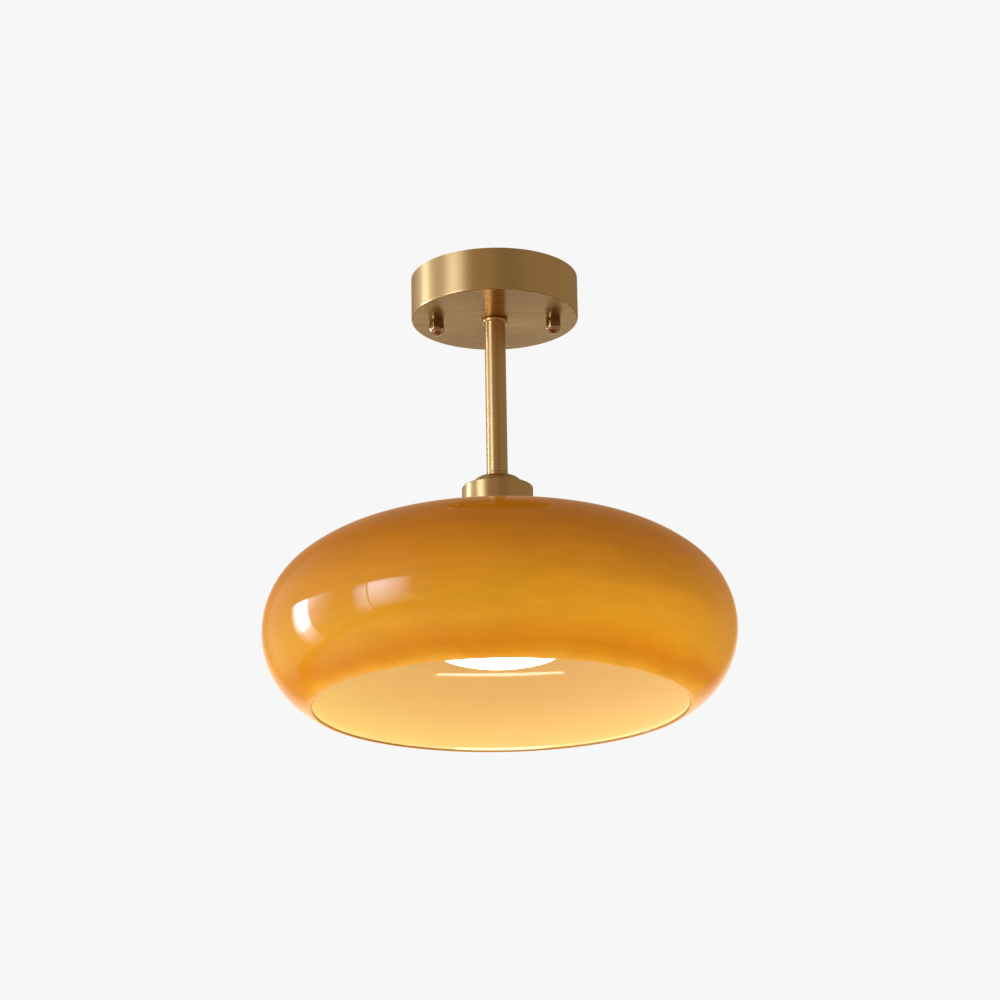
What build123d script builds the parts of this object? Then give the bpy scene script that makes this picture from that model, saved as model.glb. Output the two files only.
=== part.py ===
from build123d import *
import math
import os

# Ceiling light: a blown glass shade on a lampholder, at the end of a short brass stem under a
# round canopy. Millimetres, +Z up. The origin is the centre of the ceiling plane, which the
# canopy's rim and the bracket meet, and the two cap nuts lie along X. Heights are worked
# downwards from the ceiling in the order in which the pieces hang on each other.

# Clearances and seals
THREAD_CLEARANCE = 0.05
PASS_CLEARANCE = 0.2
SEAL_T = 0.8

# Canopy, a spun brass cup
CANOPY_D = 100.0
CANOPY_H = 26.0
CANOPY_WALL = 1.5
CANOPY_EDGE_ROUND = 0.8

# Ceiling bracket, a pressed steel cross inside the canopy
BRACKET_T = 2.0
BRACKET_ARM_WIDTH = 16.0
BRACKET_GAP_TO_CANOPY = 2.5
BRACKET_JOGGLE = 5.0
BRACKET_CORNER_ROUND = 3.0
CEILING_SLOT_SPACING = 42.0
CEILING_SLOT_LENGTH = 14.0
CEILING_SLOT_WIDTH = 4.5
CEILING_SLOT_MARGIN = 5.0

# The two studs, their lock nuts and the knurled cap nuts that carry the canopy
STUD_SPACING = 70.0
STUD_D = 4.0
STUD_HEAD_D = 8.0
STUD_HEAD_H = 2.6
STUD_HEAD_SLOT = 1.0
STUD_ENGAGEMENT = 7.0
STUD_NUT_FLATS = 7.0
STUD_NUT_H = 3.2
CAP_NUT_D = 9.6
CAP_NUT_BEAD_H = 0.9
CAP_NUT_BEAD_ROUND = 0.4
CAP_NUT_DOME_D = 8.8
CAP_NUT_DOME_H = 3.0
CAP_NUT_BARREL_D = 8.9
CAP_NUT_BARREL_H = 5.6
CAP_NUT_BELLY = 0.3
CAP_NUT_RIBS = 20
CAP_NUT_RIB_DEPTH = 0.4
CAP_NUT_THREAD_SPARE = 0.6

# Hollow threaded nipples, the stem and what is clamped on it
NIPPLE_D = 10.0
NIPPLE_BORE = 7.5
NIPPLE_IN_STEM = 12.0
NIPPLE_END = 1.6
NIPPLE_NUT_FLATS = 14.0
NIPPLE_NUT_H = 3.0
STAR_WASHER_D = 15.0
STAR_WASHER_T = 0.8
STAR_WASHER_TEETH = 12
STEM_RING_D = 15.6
STEM_RING_H = 2.6
STEM_D = 12.5
STEM_LENGTH = 94.8
COLLAR_NECK_H = 2.9
COLLAR_NECK_ROUND = 0.4
COLLAR_STEP_D = 30.4
COLLAR_STEP_H = 6.0
COLLAR_STEP_ROUND = 5.9

# Terminal block under the bracket, and the earth tag
BLOCK_LENGTH = 14.0
BLOCK_H = 12.0
POLE_SPACING = 8.0
POLE_COUNT = 3
POLE_D = 4.4
POLE_BORE = 2.8
BLOCK_WALL = 1.8
CLAMP_SCREW_D = 2.4
CLAMP_SCREW_SPACING = 6.0
BLOCK_SCREW_D = 2.4
EARTH_TAG_T = 0.6
EARTH_TAG_D = 15.5
EARTH_BARREL_LENGTH = 4.5
LEAD_D = 2.2
LEAD_SPACING = 3.2

# Lampholder for a 27 mm screw cap, and its brass cover
SOCKET_D = 27.0
SOCKET_SHELL_T = 0.4
SOCKET_SHELL_GAP = 0.85
SOCKET_SHELL_RECESS = 3.5
SLEEVE_WALL = 2.5
HOLDER_D = 38.6
HOLDER_WALL = 2.0
HOLDER_CAP_H = 16.5
HOLDER_FLANGE_H = 3.0
HOLDER_SHOULDER = 5.3
CONTACT_BLOCK_ABOVE = 4.5
CONTACT_BLOCK_BELOW = 5.5
CONTACT_BLOCK_LEDGE = 1.05
TERMINAL_OFFSET = 7.0
CENTRE_CONTACT_T = 0.5
CENTRE_CONTACT_WIDTH = 5.0
COVER_WALL = 1.2
COVER_GAP = 0.5
COVER_H = 23.9
COVER_EDGE_ROUND = 0.8

# Glass shade: a flat land round the hole, then three arcs that run into each other
GLASS_WALL = 3.0
GLASS_HOLE_GAP = 0.75
SHADE_D = 276.0
SHADE_OPENING_D = 217.5
SHADE_LAND_D = 48.0
SHADE_CROWN_R = 228.0
SHADE_SHOULDER_R = 84.5
SHADE_SIDE_R = 49.8
SHADE_SHOULDER_END = 40.1

# Threaded shade ring that clamps the glass from below
SHADE_RING_WALL = 2.65
SHADE_RING_FLANGE = 5.0
SHADE_RING_FLANGE_T = 2.5
SHADE_RING_COLLAR_H = 7.7
SHADE_RING_RIBS = 24
SHADE_RING_RIB = 0.7

# LED bulb with a wide flat diffuser
BULB_CAP_GAP = 0.4
BULB_TIP_GAP = 0.3
BULB_TIP_D = 9.0
BULB_TIP_H = 1.5
BULB_INSULATOR_H = 3.5
BULB_CAP_H = 20.5
BULB_CAP_T = 0.4
BULB_GRIP_H = 3.0
BULB_NECK_D = 29.0
BULB_NECK_H = 4.0
BULB_D = 72.0
BULB_TAPER_H = 35.8
BULB_RIM_H = 5.5
BULB_WALL = 1.5
BULB_BOARD_T = 1.6
BULB_BOARD_RECESS = 3.5
DIFFUSER_SIDE_H = 5.5
DIFFUSER_DOME_H = 6.4
DIFFUSER_WALL = 1.2
DIFFUSER_EDGE_ROUND = 1.5
SLEEVE_TO_BULB = 1.5

# Radii worked out from the sizes above
canopy_r = CANOPY_D / 2
canopy_inner_r = canopy_r - CANOPY_WALL
stud_x = STUD_SPACING / 2
stud_hole_r = STUD_D / 2 + THREAD_CLEARANCE
nipple_hole_r = NIPPLE_D / 2 + THREAD_CLEARANCE
stud_nut_corner_r = STUD_NUT_FLATS / math.sqrt(3)
holder_r = HOLDER_D / 2
cover_r = holder_r + COVER_GAP + COVER_WALL
socket_outer_r = SOCKET_D / 2 + SOCKET_SHELL_T
sleeve_bore_r = socket_outer_r + SOCKET_SHELL_GAP
sleeve_r = sleeve_bore_r + SLEEVE_WALL
glass_hole_r = sleeve_r + GLASS_HOLE_GAP
shade_ring_bore_r = sleeve_r + THREAD_CLEARANCE
shade_ring_r = shade_ring_bore_r + SHADE_RING_WALL
bulb_cap_r = SOCKET_D / 2 - BULB_CAP_GAP
bulb_r = BULB_D / 2

# Heights worked down from the ceiling, each one the lower face of what it names
joggle_end_z = -BRACKET_JOGGLE - BRACKET_T
canopy_floor_z = -CANOPY_H + CANOPY_WALL
canopy_z = -CANOPY_H
tag_top_z = canopy_floor_z + EARTH_TAG_T
washer_top_z = tag_top_z + STAR_WASHER_T
canopy_nut_top_z = washer_top_z + NIPPLE_NUT_H
stem_ring_z = canopy_z - STEM_RING_H
stem_z = stem_ring_z - STEM_LENGTH
neck_z = stem_z - COLLAR_NECK_H
collar_z = neck_z - COLLAR_STEP_H
cover_roof_z = collar_z - COVER_WALL
holder_roof_z = cover_roof_z - HOLDER_WALL
holder_nut_z = holder_roof_z - NIPPLE_NUT_H
lower_nipple_z = holder_nut_z - NIPPLE_END
holder_cap_z = cover_roof_z - HOLDER_CAP_H
contact_block_top_z = holder_cap_z + CONTACT_BLOCK_ABOVE
holder_flange_z = holder_cap_z - HOLDER_FLANGE_H
contact_block_z = holder_flange_z - CONTACT_BLOCK_BELOW
cover_z = collar_z - COVER_H
glass_z = cover_z - SEAL_T
glass_under_z = glass_z - GLASS_WALL
lower_seal_z = glass_under_z - SEAL_T
bulb_tip_z = contact_block_z - CENTRE_CONTACT_T - SOCKET_SHELL_T - BULB_TIP_GAP
bulb_insulator_z = bulb_tip_z - BULB_TIP_H
bulb_cap_top_z = bulb_insulator_z - BULB_INSULATOR_H
bulb_cap_z = bulb_cap_top_z - BULB_CAP_H
bulb_neck_top_z = bulb_cap_z + BULB_GRIP_H
bulb_rim_z = bulb_neck_top_z - BULB_NECK_H - BULB_TAPER_H - BULB_RIM_H
diffuser_edge_z = bulb_rim_z - DIFFUSER_SIDE_H
sleeve_z = bulb_neck_top_z + SLEEVE_TO_BULB

# Places along X in the canopy: joggles clear the stud heads, the block lies between the joggles
joggle_x = stud_x - STUD_HEAD_D / 2 - 2 * THREAD_CLEARANCE - BRACKET_JOGGLE
block_end_x = joggle_x - 1.0
block_x = block_end_x - BLOCK_LENGTH
block_z = -BRACKET_T - BLOCK_H
port_z = -BRACKET_T - BLOCK_H / 2
block_width = (POLE_COUNT - 1) * POLE_SPACING + POLE_D + 2 * BLOCK_WALL
block_mid_x = (block_x + block_end_x) / 2
pole_places = [(row - (POLE_COUNT - 1) / 2) * POLE_SPACING for row in range(POLE_COUNT)]
clamp_places = [block_mid_x - CLAMP_SCREW_SPACING / 2, block_mid_x + CLAMP_SCREW_SPACING / 2]


def turned(*corners):
    """A solid of revolution about Z. A corner is (radius, height) or (radius, height, rounding)."""
    points = [(corner[0], corner[1]) for corner in corners]
    rounds = [corner[2] if len(corner) > 2 else 0 for corner in corners]
    outline = FilletPolyline(*points, radius=rounds, close=True)
    return revolve(Plane.XZ * make_face(outline), Axis.Z)


def tube(outer_r, inner_r, top, bottom):
    """A plain ring or tube between two heights."""
    return turned((inner_r, bottom), (outer_r, bottom), (outer_r, top), (inner_r, top))


def rod(radius, top, bottom, x=0.0, y=0.0):
    """A round bar along Z, which is also the cutter for a round hole."""
    return Pos(x, y, bottom) * extrude(Circle(radius), top - bottom)


def bar_along_x(radius, start_x, end_x, y, z):
    """A round bar along X, which is also the cutter for a cross hole."""
    return extrude(Plane.YZ.offset(start_x) * Pos(y, z) * Circle(radius), end_x - start_x)


def hexagon_nut(flats, bore_r, top, height, x=0.0):
    """A hexagon nut whose corners are turned off at 30 degrees on both faces."""
    corner_r = flats / math.sqrt(3)
    bevel = (corner_r - flats / 2) / math.sqrt(3)
    blank = Pos(0, 0, top - height) * extrude(RegularPolygon(flats / 2, 6, major_radius=False), height)
    turning = turned(
        (bore_r, top - height),
        (flats / 2, top - height),
        (corner_r, top - height + bevel),
        (corner_r, top - bevel),
        (flats / 2, top),
        (bore_r, top),
    )
    return Pos(x, 0, 0) * (blank & turning)


def ribbed_disc(radius, ribs, depth, height):
    """A disc whose rim has evenly spaced half round flutes, as a straight knurl leaves it."""
    pitch = 2 * math.pi * radius / ribs
    flute_r = (depth**2 + (0.3 * pitch) ** 2) / (2 * depth)
    flutes = PolarLocations(radius + flute_r - depth, ribs) * Circle(flute_r)
    return extrude(Circle(radius) - flutes, height)


def ceiling_bracket():
    """Cross of sheet steel: the X arm drops at both ends to make room for the stud heads."""
    reach = math.sqrt((canopy_inner_r - BRACKET_GAP_TO_CANOPY) ** 2 - (BRACKET_ARM_WIDTH / 2) ** 2)
    mitre = BRACKET_T * math.tan(math.radians(22.5))
    upper = [(joggle_x, 0), (joggle_x + BRACKET_JOGGLE, -BRACKET_JOGGLE), (reach, -BRACKET_JOGGLE)]
    lower = [
        (reach, joggle_end_z),
        (joggle_x + BRACKET_JOGGLE - mitre, joggle_end_z),
        (joggle_x - mitre, -BRACKET_T),
    ]
    half = upper + lower
    profile = half + [(-x, z) for x, z in reversed(half)]
    x_arm = extrude(
        Plane.XZ * make_face(Polyline(*profile, close=True)), BRACKET_ARM_WIDTH / 2, both=True
    )
    x_arm = fillet(corner_edges(x_arm, Axis.X, reach), BRACKET_CORNER_ROUND)
    y_reach = CEILING_SLOT_SPACING / 2 + CEILING_SLOT_LENGTH / 2 + CEILING_SLOT_MARGIN
    y_plate = RectangleRounded(BRACKET_ARM_WIDTH, 2 * y_reach, BRACKET_CORNER_ROUND)
    bracket = x_arm + Pos(0, 0, -BRACKET_T) * extrude(y_plate, BRACKET_T)
    slot = Rot(0, 0, 90) * SlotOverall(CEILING_SLOT_LENGTH, CEILING_SLOT_WIDTH)
    for side in (-1, 1):
        place = Pos(0, side * CEILING_SLOT_SPACING / 2, -BRACKET_T)
        bracket -= place * extrude(slot, BRACKET_T)
        bracket -= rod(stud_hole_r, -BRACKET_JOGGLE, joggle_end_z, x=side * stud_x)
    return bracket - block_screw_hole(0)


def corner_edges(solid, axis, reach):
    """The upright edges of a plate at both of its ends along an axis."""
    upright = solid.edges().filter_by(Axis.Z)
    ends = [edge for edge in upright if abs(abs(edge.center().dot(axis.direction)) - reach) < 0.01]
    return ShapeList(ends)


def block_screw_y():
    """The fixing screw goes between the last two poles."""
    return (pole_places[-1] + pole_places[-2]) / 2


def block_screw_hole(top):
    """Cutter for the screw that holds the terminal block under the bracket."""
    return rod(BLOCK_SCREW_D / 2 + THREAD_CLEARANCE, top, block_z, block_mid_x, block_screw_y())


def bracket_stud(side):
    """Pan head screw through the dropped end of the bracket, down into the cap nut."""
    head_top = -BRACKET_JOGGLE + STUD_HEAD_H
    stud = turned(
        (0, canopy_z - STUD_ENGAGEMENT),
        (STUD_D / 2, canopy_z - STUD_ENGAGEMENT, 0.5),
        (STUD_D / 2, -BRACKET_JOGGLE),
        (STUD_HEAD_D / 2, -BRACKET_JOGGLE),
        (STUD_HEAD_D / 2, head_top, STUD_HEAD_H / 2),
        (0, head_top),
    )
    slot = Pos(0, 0, head_top - STUD_HEAD_SLOT / 2) * Box(STUD_HEAD_D, STUD_HEAD_SLOT, STUD_HEAD_SLOT)
    return Pos(side * stud_x, 0, 0) * (stud - slot)


def stud_lock_nuts():
    """The nut that fixes each stud under the bracket."""
    nuts = [
        hexagon_nut(STUD_NUT_FLATS, stud_hole_r, joggle_end_z, STUD_NUT_H, x=side * stud_x)
        for side in (-1, 1)
    ]
    return Compound(children=nuts)


def cap_nut(side):
    """Thumb nut: a ribbed barrel under the canopy, a smooth bead, a domed end, a blind thread."""
    bead_top = canopy_z - CAP_NUT_BARREL_H
    dome_top = bead_top - CAP_NUT_BEAD_H
    barrel = barrel_blank(CAP_NUT_BARREL_D / 2, CAP_NUT_BELLY, canopy_z, bead_top)
    barrel &= Pos(0, 0, bead_top) * ribbed_disc(
        CAP_NUT_BARREL_D / 2, CAP_NUT_RIBS, CAP_NUT_RIB_DEPTH, CAP_NUT_BARREL_H
    )
    bead = turned(
        (0, bead_top),
        (CAP_NUT_D / 2, bead_top, CAP_NUT_BEAD_ROUND),
        (CAP_NUT_D / 2, dome_top, CAP_NUT_BEAD_ROUND),
        (0, dome_top),
    )
    hole = rod(stud_hole_r, canopy_z, canopy_z - STUD_ENGAGEMENT - CAP_NUT_THREAD_SPARE)
    return Pos(side * stud_x, 0, 0) * (barrel + bead + domed_end(dome_top) - hole)


def barrel_blank(belly_r, belly, top, bottom):
    """A barrel whose side is one arc, widest halfway up and drawn in by the belly at both ends."""
    end_r = belly_r - belly
    side = ThreePointArc((end_r, bottom), (belly_r, (top + bottom) / 2), (end_r, top))
    ends = Polyline((end_r, top), (0, top), (0, bottom), (end_r, bottom))
    return revolve(Plane.XZ * make_face([side, ends]), Axis.Z)


def domed_end(top):
    """The part of a ball that closes the cap nut below its bead."""
    edge_r = CAP_NUT_DOME_D / 2
    ball_r = (edge_r**2 + CAP_NUT_DOME_H**2) / (2 * CAP_NUT_DOME_H)
    centre_z = top - CAP_NUT_DOME_H + ball_r
    arc = CenterArc((0, centre_z), ball_r, 270, math.degrees(math.asin(edge_r / ball_r)))
    closing = Polyline((edge_r, top), (0, top), (0, top - CAP_NUT_DOME_H))
    return revolve(Plane.XZ * make_face([arc, closing]), Axis.Z)


def canopy():
    """Cup of spun brass with a hole for the nipple and one for each stud."""
    cup = turned(
        (0, canopy_z),
        (canopy_r, canopy_z, CANOPY_EDGE_ROUND),
        (canopy_r, 0),
        (canopy_inner_r, 0),
        (canopy_inner_r, canopy_floor_z),
        (0, canopy_floor_z),
    )
    cup -= rod(nipple_hole_r, canopy_floor_z, canopy_z)
    for side in (-1, 1):
        cup -= rod(STUD_D / 2 + PASS_CLEARANCE, canopy_floor_z, canopy_z, x=side * stud_x)
    return cup


def terminal_block():
    """Moulded three pole block with its wire ports along X and its clamp screws facing down."""
    body = Pos((block_x + block_end_x) / 2, 0, (block_z - BRACKET_T) / 2) * Box(
        BLOCK_LENGTH, block_width, BLOCK_H
    )
    body = fillet(body.edges().filter_by(Axis.Z), 1.0)
    for y in pole_places:
        body -= bar_along_x(POLE_D / 2 + THREAD_CLEARANCE, block_x, block_end_x, y, port_z)
        for x in clamp_places:
            body -= rod(CLAMP_SCREW_D / 2 + THREAD_CLEARANCE, port_z, block_z, x, y)
    return body - block_screw_hole(-BRACKET_T)


def terminal_inserts():
    """The brass tube of each pole."""
    inserts = []
    for y in pole_places:
        insert = bar_along_x(POLE_D / 2, block_x + 1.0, block_end_x - 1.0, y, port_z)
        insert -= bar_along_x(POLE_BORE / 2, block_x, block_end_x, y, port_z)
        for x in clamp_places:
            insert -= rod(CLAMP_SCREW_D / 2 + THREAD_CLEARANCE, port_z, block_z, x, y)
        inserts.append(insert)
    return Compound(children=inserts)


def terminal_screws():
    """Two slotted clamp screws in each pole, whose tips press on the lead."""
    tip_z = port_z - LEAD_D / 2 - THREAD_CLEARANCE
    head_z = block_z + 0.6
    slot = Box(CLAMP_SCREW_D, 0.5, 0.8)
    screws = []
    for y in pole_places:
        for x in clamp_places:
            screws.append(rod(CLAMP_SCREW_D / 2, tip_z, head_z, x, y) - Pos(x, y, head_z) * slot)
    return Compound(children=screws)


def block_fixing_screw():
    """Screw up through the block into the bracket, with its head under the block."""
    head = rod(BLOCK_SCREW_D * 0.7, block_z, block_z - 1.2)
    shank = rod(BLOCK_SCREW_D / 2, 0, block_z)
    slot = Pos(0, 0, block_z - 1.2) * Box(4 * BLOCK_SCREW_D, 0.5, 0.8)
    return Pos(block_mid_x, block_screw_y(), 0) * (head + shank - slot)


def canopy_lock_nut():
    """The nut that clamps the canopy between the stem ring and the star washer."""
    return hexagon_nut(NIPPLE_NUT_FLATS, nipple_hole_r, canopy_nut_top_z, NIPPLE_NUT_H)


def star_washer():
    """Toothed washer: slots cut in from the rim leave its teeth."""
    notch_w = math.pi * STAR_WASHER_D / STAR_WASHER_TEETH / 2
    notch_r = (nipple_hole_r + STAR_WASHER_D / 2) / 2
    notches = PolarLocations(notch_r + STAR_WASHER_D / 4, STAR_WASHER_TEETH) * Rectangle(
        STAR_WASHER_D / 2, notch_w
    )
    blank = Circle(STAR_WASHER_D / 2) - Circle(nipple_hole_r) - notches
    return Pos(0, 0, tag_top_z) * extrude(blank, STAR_WASHER_T)


def barrel_z():
    """Height of the earth tag's crimp barrel, which lies on the tag."""
    return tag_top_z + LEAD_D / 2 + THREAD_CLEARANCE + EARTH_TAG_T


def barrel_x():
    """The crimp barrel starts just outside the canopy nut's corners."""
    return NIPPLE_NUT_FLATS / math.sqrt(3) + 1.5


def earth_tag():
    """Ring terminal under the canopy's lock nut, with a crimp barrel for the earth lead."""
    ring = tube(EARTH_TAG_D / 2, nipple_hole_r, tag_top_z, canopy_floor_z)
    tongue_end = barrel_x() + EARTH_BARREL_LENGTH
    tongue_start = nipple_hole_r + 1.0
    tongue = Pos((tongue_start + tongue_end) / 2, 0, (tag_top_z + canopy_floor_z) / 2) * Box(
        tongue_end - tongue_start, 2 * LEAD_D, EARTH_TAG_T
    )
    bore_r = LEAD_D / 2 + THREAD_CLEARANCE
    barrel = bar_along_x(bore_r + EARTH_TAG_T, barrel_x(), tongue_end, 0, barrel_z())
    foot = Pos((barrel_x() + tongue_end) / 2, 0, (barrel_z() + tag_top_z) / 2) * Box(
        EARTH_BARREL_LENGTH, LEAD_D, barrel_z() - tag_top_z
    )
    return ring + tongue + barrel + foot - bar_along_x(bore_r, barrel_x(), tongue_end, 0, barrel_z())


def nipple(top, bottom):
    """Hollow threaded tube with bevelled ends, which joins two pieces and lets the leads through."""
    bevel = 0.6
    outer = NIPPLE_D / 2
    return turned(
        (NIPPLE_BORE / 2, bottom),
        (outer - bevel, bottom),
        (outer, bottom + bevel),
        (outer, top - bevel),
        (outer - bevel, top),
        (NIPPLE_BORE / 2, top),
    )


def stem_ring():
    """Beaded brass ring between the canopy and the stem."""
    bead = STEM_RING_H * 0.45
    return turned(
        (nipple_hole_r, stem_ring_z),
        (STEM_RING_D / 2, stem_ring_z, bead),
        (STEM_RING_D / 2, canopy_z, bead),
        (nipple_hole_r, canopy_z),
    )


def stem_tube():
    """Straight brass tube, tapped at both ends for the nipples."""
    return tube(STEM_D / 2, nipple_hole_r, stem_ring_z, stem_z)


def stem_collar():
    """Turned collar: a neck as wide as the stem, then a step that one large rounding domes."""
    return turned(
        (nipple_hole_r, collar_z),
        (COLLAR_STEP_D / 2, collar_z),
        (COLLAR_STEP_D / 2, neck_z, COLLAR_STEP_ROUND),
        (STEM_D / 2, neck_z),
        (STEM_D / 2, stem_z, COLLAR_NECK_ROUND),
        (nipple_hole_r, stem_z),
    )


def lampholder_cover():
    """Spun brass cup, open downwards, that hides the lampholder and presses on the glass."""
    inner_r = cover_r - COVER_WALL
    return turned(
        (inner_r, cover_z),
        (cover_r, cover_z),
        (cover_r, collar_z, COVER_EDGE_ROUND),
        (nipple_hole_r, collar_z),
        (nipple_hole_r, cover_roof_z),
        (inner_r, cover_roof_z),
    )


def holder_cap():
    """Upper half of the lampholder: a moulded dome with a threaded hole for the nipple."""
    inner_r = holder_r - HOLDER_WALL
    return turned(
        (inner_r, holder_cap_z),
        (holder_r, holder_cap_z),
        (holder_r, cover_roof_z - HOLDER_SHOULDER, 1.0),
        (holder_r - HOLDER_SHOULDER, cover_roof_z, 1.0),
        (nipple_hole_r, cover_roof_z),
        (nipple_hole_r, holder_roof_z),
        (inner_r - HOLDER_SHOULDER, holder_roof_z),
        (inner_r, holder_roof_z - HOLDER_SHOULDER),
    )


def holder_lock_nut():
    """Nut on the lower nipple, inside the lampholder."""
    return hexagon_nut(NIPPLE_NUT_FLATS, nipple_hole_r, holder_roof_z, NIPPLE_NUT_H)


def terminal_body_r():
    """Radius of the contact block's upper body, outside the two lead holes."""
    return TERMINAL_OFFSET + LEAD_D / 2 + 2 * THREAD_CLEARANCE + LEAD_D * 2


def contact_block():
    """Ceramic block that rests on a ledge in the sleeve and carries both contacts."""
    lower_r = sleeve_bore_r - PASS_CLEARANCE
    flange_r = sleeve_bore_r + CONTACT_BLOCK_LEDGE
    block = turned(
        (0, contact_block_z),
        (lower_r, contact_block_z),
        (lower_r, holder_flange_z + 1.0),
        (flange_r, holder_flange_z + 1.0),
        (flange_r, holder_cap_z),
        (terminal_body_r(), holder_cap_z),
        (terminal_body_r(), contact_block_top_z, 0.6),
        (0, contact_block_top_z),
    )
    for side in (-1, 1):
        lead_hole_r = LEAD_D / 2 + 2 * THREAD_CLEARANCE
        block -= rod(lead_hole_r, contact_block_top_z, holder_cap_z, y=side * TERMINAL_OFFSET)
        block -= holder_screw_bar(side, CLAMP_SCREW_D / 2 + THREAD_CLEARANCE)
    return block


def holder_screw_bar(side, radius):
    """Round bar along Y from the lead hole to the outside of the contact block."""
    z = (contact_block_top_z + holder_cap_z) / 2
    start = TERMINAL_OFFSET + LEAD_D / 2 + THREAD_CLEARANCE
    bar = extrude(Plane.XZ.offset(-start) * Pos(0, z) * Circle(radius), start - terminal_body_r() - 0.1)
    return bar if side > 0 else mirror(bar, Plane.XZ)


def holder_terminal_screws():
    """The two screws that clamp the leads in the contact block."""
    z = (contact_block_top_z + holder_cap_z) / 2
    screws = []
    for side in (-1, 1):
        head = extrude(
            Plane.XZ.offset(-terminal_body_r()) * Pos(0, z) * Circle(CLAMP_SCREW_D * 0.8), -1.2
        )
        head = head if side > 0 else mirror(head, Plane.XZ)
        screws.append(holder_screw_bar(side, CLAMP_SCREW_D / 2) + head)
    return Compound(children=screws)


def socket_shell():
    """Thin brass shell that takes the bulb's screw cap, flanged inwards under the block."""
    flange_inner_r = SOCKET_D / 2 - 3.0
    return turned(
        (SOCKET_D / 2, sleeve_z + SOCKET_SHELL_RECESS),
        (socket_outer_r, sleeve_z + SOCKET_SHELL_RECESS),
        (socket_outer_r, contact_block_z),
        (flange_inner_r, contact_block_z),
        (flange_inner_r, contact_block_z - SOCKET_SHELL_T),
        (SOCKET_D / 2, contact_block_z - SOCKET_SHELL_T),
    )


def centre_contact():
    """Leaf spring under the contact block, bent down towards the bulb's tip."""
    half_length = SOCKET_D / 2 - 4.0
    flat = half_length * 0.45
    drop = SOCKET_SHELL_T
    leaf = Polyline(
        (-half_length, contact_block_z),
        (half_length, contact_block_z),
        (half_length, contact_block_z - CENTRE_CONTACT_T),
        (flat, contact_block_z - CENTRE_CONTACT_T),
        (flat / 2, contact_block_z - CENTRE_CONTACT_T - drop),
        (-flat / 2, contact_block_z - CENTRE_CONTACT_T - drop),
        (-flat, contact_block_z - CENTRE_CONTACT_T),
        (-half_length, contact_block_z - CENTRE_CONTACT_T),
        close=True,
    )
    return extrude(Plane.XZ * make_face(leaf), CENTRE_CONTACT_WIDTH / 2, both=True)


def holder_sleeve():
    """Threaded lower half of the lampholder, which goes through the glass."""
    recess_r = sleeve_bore_r + CONTACT_BLOCK_LEDGE + PASS_CLEARANCE
    return turned(
        (sleeve_bore_r, sleeve_z),
        (sleeve_r, sleeve_z, 0.5),
        (sleeve_r, holder_flange_z),
        (holder_r, holder_flange_z),
        (holder_r, holder_cap_z),
        (recess_r, holder_cap_z),
        (recess_r, holder_flange_z + 1.0),
        (sleeve_bore_r, holder_flange_z + 1.0),
    )


def upper_seal():
    """Rubber washer between the cover's rim and the glass."""
    return tube(cover_r - 0.2, glass_hole_r, cover_z, glass_z)


def lower_seal():
    """Rubber washer between the glass and the shade ring."""
    return tube(SHADE_LAND_D / 2 - 0.5, glass_hole_r, glass_under_z, lower_seal_z)


def along(angle):
    """The unit vector at an angle from straight up, turned outwards, as radius and height."""
    return math.sin(math.radians(angle)), math.cos(math.radians(angle))


def arc_down(centre, radius, start, end):
    """Arc between two angles from straight up, drawn in the order of the angles."""
    return CenterArc(centre, radius, 90 - start, start - end)


def glass_shade():
    """Blown shade of one wall thickness. The crown, shoulder and side are arcs with a common
    tangent where they meet: each centre lies on the line through the last joint and the last
    centre. The inner face has the same centres, and the lip is melted round."""
    land_r = SHADE_LAND_D / 2
    shoulder_end = SHADE_SHOULDER_END
    side_r = SHADE_D / 2 - SHADE_SIDE_R
    shoulder_r = side_r - (SHADE_SHOULDER_R - SHADE_SIDE_R) * along(shoulder_end)[0]
    crown_end = math.degrees(math.asin((shoulder_r - land_r) / (SHADE_CROWN_R - SHADE_SHOULDER_R)))
    crown_z = glass_z - SHADE_CROWN_R
    shoulder_z = crown_z + (SHADE_CROWN_R - SHADE_SHOULDER_R) * along(crown_end)[1]
    side_z = shoulder_z + (SHADE_SHOULDER_R - SHADE_SIDE_R) * along(shoulder_end)[1]
    lip_r = GLASS_WALL / 2
    middle_r = SHADE_SIDE_R - lip_r
    lip_x = SHADE_OPENING_D / 2 + lip_r
    side_end = 180 - math.degrees(math.asin((lip_x - side_r) / middle_r))
    lip_z = side_z + middle_r * along(side_end)[1]
    stretches = [
        ((land_r, crown_z), SHADE_CROWN_R, 0, crown_end),
        ((shoulder_r, shoulder_z), SHADE_SHOULDER_R, crown_end, shoulder_end),
        ((side_r, side_z), SHADE_SIDE_R, shoulder_end, side_end),
    ]
    outer = [arc_down(*stretch) for stretch in stretches]
    inner = [
        arc_down(centre, radius - GLASS_WALL, start, end) for centre, radius, start, end in stretches
    ]
    lip = arc_down((lip_x, lip_z), lip_r, side_end, side_end + 180)
    top_land = Line((glass_hole_r, glass_z), (land_r, glass_z))
    under_land = Line((glass_hole_r, glass_under_z), (land_r, glass_under_z))
    hole = Line((glass_hole_r, glass_under_z), (glass_hole_r, glass_z))
    outline = make_face([top_land, *outer, lip, *inner, under_land, hole])
    return revolve(Plane.XZ * outline, Axis.Z)


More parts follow.
